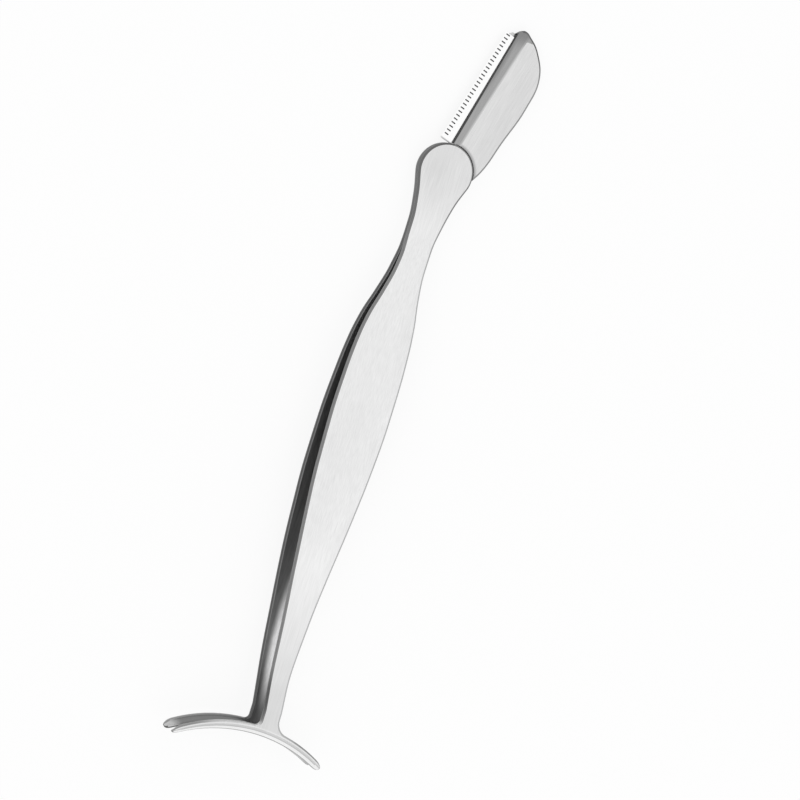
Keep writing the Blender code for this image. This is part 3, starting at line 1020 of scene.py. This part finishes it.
# %% Finishes of the holder
# painted shade: darker sides of the outline by the tip, a darker ring on the face beside the heads as a
# painted contact shadow, and a darker bevel at the tip
painted_shade_flank = (10.5, 117.5, 0), (5, 7, 60), 0, 0.13
painted_shade_tip_side = (7.2, 119.3, 0), (3.5, 2.5, 60), 0, 0.13
painted_contact_shadow = (head_x, head_y, 0), (5.2, 5.2, 60), 0, 0.38, 0.10
painted_shade_bevel_tip = (7.7, 119.2, 0), (3.8, 3.4, 60), 0, 0.24


def on_holder(u, v):
    """A point of the holder's plane, given along and across its mouth, in the tool's frame."""
    return holder_place @ (Vector((u, v, 0)) * MM) / MM


# painted shade along the mouth on the bevel, and a painted highlight where the bevel meets the face
painted_shade_mouth = on_holder(15, -0.1), (0.8, 10, 60), -14.6, 0.25
painted_highlight_line = on_holder(9.4, -1.86), (0.62, 30, 60), -16.3, 0.62
# Besides the real finish, the bevel and the outline are painted darker, the mouth's edge and the slit almost
# black, as painted shade, and the seat's wall lighter, as painted light.
holder_finishes = {
    "face": steel("holder_face", 0.69, 0.32, turn=mouth_lean, patches=[painted_contact_shadow]),
    "bevel": steel("holder_bevel_ground_and_shade", 0.36, 0.30, turn=mouth_lean,
                   patches=[painted_shade_mouth, painted_highlight_line, painted_shade_bevel_tip]),
    "outline": steel("holder_outline", 0.29, 0.40, turn=mouth_lean, patches=[painted_shade_flank, painted_shade_tip_side]),
    "mouth": steel("mouth_edge_painted_shade", 0.07, 0.45, turn=mouth_lean),
    "slit": steel("slit_painted_shade", 0.05, 0.5, turn=mouth_lean),
    "seat": steel("seat_wall_painted_light", 0.75, 0.4, turn=mouth_lean),
}
print("finishes of the holder:", len(holder_finishes))

# %% Paint the holder and lay it down
seat_middle = holder_place.inverted() @ (Vector((head_x, head_y, 0)) * MM) / MM
seat_reach = head_radius + seat_gap + 0.03


def holder_region(face):
    """Finish of a face of the holder, by where it lies and where it looks."""
    n, p = face.normal, spot(face)
    if abs(p.z) < slit_width / 2 + hair and -slit_depth - hair < p.y < -0.05 and p.x < slit_end + hair:
        return "slit"
    if (p - seat_middle).xy.length < seat_reach and abs(n.z) < 0.5:
        return "seat"
    if n.y > 0.3 and abs(n.z) < 0.985 and p.y > -0.4 and p.x < slit_end - 0.1:
        return "mouth"
    if abs(n.z) < 0.97:
        return "outline"
    return "face" if abs(n.z) > 0.9985 else "bevel"


print("holder faces:", paint(holder, holder_finishes, holder_region))
smooth_shade(holder)
holder.data.transform(holder_place)
lay_down(holder)
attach(holder, "head")
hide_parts("blade_holder")

# %% [markdown]
# ## Blade
# The blade is a thin strip that stands out of the mouth, ground down to its edge, with one corner clipped
# where it shows past the guard. It is a box: one bisect marks where the grind starts, and a resize then
# thins the edge. It sits a little askew in the mouth.

# %% Shape the blade
strip_skew = math.radians(1.1)
fine_gap = 0.15
strip_start = -1.0
blade_end, blade_reach, blade_tail, blade_thickness = 19.0, 1.80, 3.4, 0.15
blade_edge, blade_grind = 0.04, 0.6
bright_from, clip_from = 18.3, 18.1
blade_top = -fine_gap / 2
blade = box("blade_strip", (strip_start, -blade_tail, blade_top - blade_thickness),
            (blade_end, blade_reach, blade_top))
edit(blade)
slice_off((0, blade_reach - blade_grind, 0), (0, 1, 0), drop=False)
slice_off((bright_from, 0, 0), (1, 0, 0), drop=False)
slice_off((clip_from, blade_reach, 0), (1, 1, 0), fill=True)
pick("verts", lambda v: v.co.y / MM > blade_reach - hair)
bpy.ops.transform.resize(value=(1, 1, blade_edge / blade_thickness),
                         center_override=(0, 0, (blade_top - blade_thickness / 2) * MM))
fresh()
print("blade has", len(blade.data.polygons), "faces")

# %% [markdown]
# ## Guard
# The guard is a thinner strip in front of the blade's edge, with a row of small windows that let only hairs
# through to it. Each window could be an inset and a hole in the strip, but a real guard is punched. So one
# punch with round corners is modelled, copied along the strip by an Array modifier, and cut out in one go.

# %% Punch the guard
guard_end, guard_reach, guard_tail, guard_thickness = 18.4, 2.02, 1.6, 0.15
window_count, window_pitch, window_first = 28, 0.675, -0.1
window_width, window_near, window_far = 0.21, 1.12, 1.86
window_round = 0.09
guard_low = fine_gap / 2
# length of the guard's grey end at the heads
grey_end = 0.16
guard = box("guard_strip", (strip_start, -guard_tail, guard_low),
            (guard_end, guard_reach, guard_low + guard_thickness))
punch = box("punch", (window_first - window_width / 2, window_near, guard_low - 1),
            (window_first + window_width / 2, window_far, guard_low + 1))
edit(punch)
pick("edges", lambda e: abs(along(e).z) > 0.9)
bpy.ops.mesh.bevel(offset=window_round * MM, segments=3, profile=0.5, affect="EDGES")
fresh()
apply_modifier(punch, "ARRAY", count=window_count, use_relative_offset=False, use_constant_offset=True,
               constant_offset_displace=(window_pitch * MM, 0, 0))
cut(guard, punch)
edit(guard)
slice_off((strip_start + grey_end, 0, 0), (1, 0, 0), drop=False)
fresh()
print("guard has", len(guard.data.polygons), "faces and", window_count, "windows")

# %% [markdown]
# ## Finish of the blade and the guard
# The guard is polished, so in the white studio it shows white, with a greyer end at the heads, and the
# walls of its windows are painted darker, as painted shade. The blade behind it is ground, and painted dark
# as painted shade that shows through the windows; only its clipped end shows as a grey corner. Both strips
# ride with the heads, because they are clamped in the holder.

# %% Paint the strips and lay them down
strip_place = holder_place @ Matrix.Rotation(-strip_skew, 4, "Z")
# painted shade: the blade is painted dark, so that it shows dark through the windows
blade_finishes = {
    "ground": steel("blade_ground_painted_shade", 0.20, 0.28, turn=mouth_lean),
    "end": steel("blade_end", 0.60, 0.34, turn=mouth_lean),
}
# painted shade: the walls of the windows are darker
guard_finishes = {
    "polished": steel("guard_polished", 0.97, 0.22, scratch=0.02, turn=mouth_lean, clouds=0.01),
    "window": steel("window_wall_painted_shade", 0.35, 0.4, turn=mouth_lean),
    "end": steel("guard_end", 0.62, 0.34, turn=mouth_lean),
}


def blade_region(face):
    return "end" if spot(face).x > bright_from + hair else "ground"


def guard_region(face):
    p = spot(face)
    if abs(face.normal.z) < 0.5 and window_near - 0.02 < p.y < window_far + 0.02:
        return "window"
    return "end" if p.x < strip_start + grey_end - hair else "polished"


for piece, finishes_of, region_of, slot, node_name in (
        (blade, blade_finishes, blade_region, "blade_steel", "blade"),
        (guard, guard_finishes, guard_region, "guard_steel", "guard")):
    print(node_name, "faces:", paint(piece, finishes_of, region_of))
    smooth_shade(piece)
    piece.data.transform(strip_place)
    lay_down(piece)
    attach(piece, "head")
    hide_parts(node_name)

# %% [markdown]
# ## Table
# The tool lies on a plain white table, with a faint soft shadow. Enough light to make a pale table white
# would wash out the steel. So most of the table's white is a glow that only the camera and the gloss of the
# metal see, and the rest is a plain matt surface, which keeps a share of the shadow.


# %% White for the camera
def seen_directly(tree):
    """1 for rays from the camera, from a gloss or through glass."""
    path = node(tree, "LightPath", {}).outputs
    first = node(tree, "Math", {0: path["Is Camera Ray"], 1: path["Is Glossy Ray"]}, operation="MAXIMUM")
    both = {0: first.outputs["Value"], 1: path["Is Transmission Ray"]}
    return node(tree, "Math", both, operation="MAXIMUM").outputs["Value"]


table_size = 4
shadow_kept = 0.13
fresh()
bpy.ops.mesh.primitive_grid_add(x_subdivisions=2, y_subdivisions=2, size=table_size)
table = bpy.context.object
table.name = "table"
table_white = bpy.data.materials.new("table_white")
table_white.use_nodes = True
tree = table_white.node_tree
matt = tree.nodes["Principled BSDF"]
matt.inputs["Base Color"].default_value = (0.94, 0.94, 0.94, 1)
matt.inputs["Roughness"].default_value = 0.8
glow = node(tree, "Emission", {"Color": (1, 1, 1, 1), "Strength": 1.0})
share = node(tree, "Math", {0: seen_directly(tree), 1: 1 - shadow_kept}, operation="MULTIPLY")
mix = node(tree, "MixShader", {
    0: share.outputs["Value"], 1: matt.outputs["BSDF"], 2: glow.outputs["Emission"]})
tree.links.new(mix.outputs["Shader"], tree.nodes["Material Output"].inputs["Surface"])
table.data.materials.append(table_white)
table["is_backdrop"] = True
print("table is", table_size, "m wide")

# %% [markdown]
# ## Light
# A white studio lights the tool evenly from all sides, as in a product photograph. One broad soft lamp
# above the jaws adds the slow change of tone along the steel. A small strong lamp would blow out the faces
# that tilt towards it.

# %% World and lamp
world = bpy.data.worlds.new("studio")
bpy.context.scene.world = world
world.use_nodes = True
sky_for_object, sky_for_camera = 0.9, 1.0
tree = world.node_tree
tree.nodes["Background"].inputs["Color"].default_value = (1, 1, 1, 1)
level = node(tree, "MapRange", {
    "Value": seen_directly(tree), "To Min": sky_for_object, "To Max": sky_for_camera})
tree.links.new(level.outputs["Result"], tree.nodes["Background"].inputs["Strength"])

key_place, key_size, key_power = (0.1, -0.75, 0.85), 1.5, 1.8
fresh()
bpy.ops.object.light_add(type="AREA", location=key_place)
key = bpy.context.object
key.name = "key"
key.data.size = key_size
key.data.energy = key_power
key.rotation_euler = (-Vector(key_place)).to_track_quat("-Z", "Y").to_euler()
print("lamp stands", round(Vector(key_place).length, 2), "m from the tool")

# %% [markdown]
# ## Camera
# The camera looks down on the tool from a little to the left, so that the rear arm shows beside the front
# one, and it is rolled, so that the tool stands aslant in the picture. It is placed in the tool's own
# frame: its distance sets how much nearer things grow, and its lens then sets how many pixels a millimetre
# takes.

# %% Place the camera
view_turn, view_roll = math.radians(22), math.radians(17.2)
view_distance, pixels_per_mm, picture_width = 550.0, 6.45, 800
film_width = 36
target = Vector((6.410, 58.751, -0.036))
look = Vector((math.sin(view_turn), 0, -math.cos(view_turn)))
level_right = Vector((math.cos(view_turn), 0, math.sin(view_turn)))
up_tool = Vector((0, 1, 0))
right = math.cos(view_roll) * level_right + math.sin(view_roll) * up_tool
up = -math.sin(view_roll) * level_right + math.cos(view_roll) * up_tool
eye = (target - view_distance * look) * MM
stand = Matrix((
    (right.x, up.x, -look.x, eye.x), (right.y, up.y, -look.y, eye.y), (right.z, up.z, -look.z, eye.z),
    (0, 0, 0, 1)))
camera_data = bpy.data.cameras.new("camera")
camera = bpy.data.objects.new("camera", camera_data)
bpy.context.scene.collection.objects.link(camera)
camera.matrix_world = tool_place @ stand
camera_data.sensor_fit = "HORIZONTAL"
camera_data.sensor_width = film_width
camera_data.lens = film_width * pixels_per_mm * view_distance / picture_width
camera_data.clip_start = 0.01
camera_data.clip_end = 20
bpy.context.scene.camera = camera
bpy.context.scene.view_settings.view_transform = "Standard"
print("lens:", round(camera_data.lens), "mm")

# %% [markdown]
# ## Sizes
# The box of the imported model and the box of the dressed tool are both printed, in millimetres. The
# dressed tool has to stay inside the box of the imported model, because other scenes place the part by
# that box.

# %% Sizes and finish
seen_low, seen_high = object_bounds()
for name, low, high in (("packed", cad_low, cad_high), ("visual", seen_low, seen_high)):
    print(name, "model, mm:", [round((b - a) / MM, 2) for a, b in zip(low, high)])
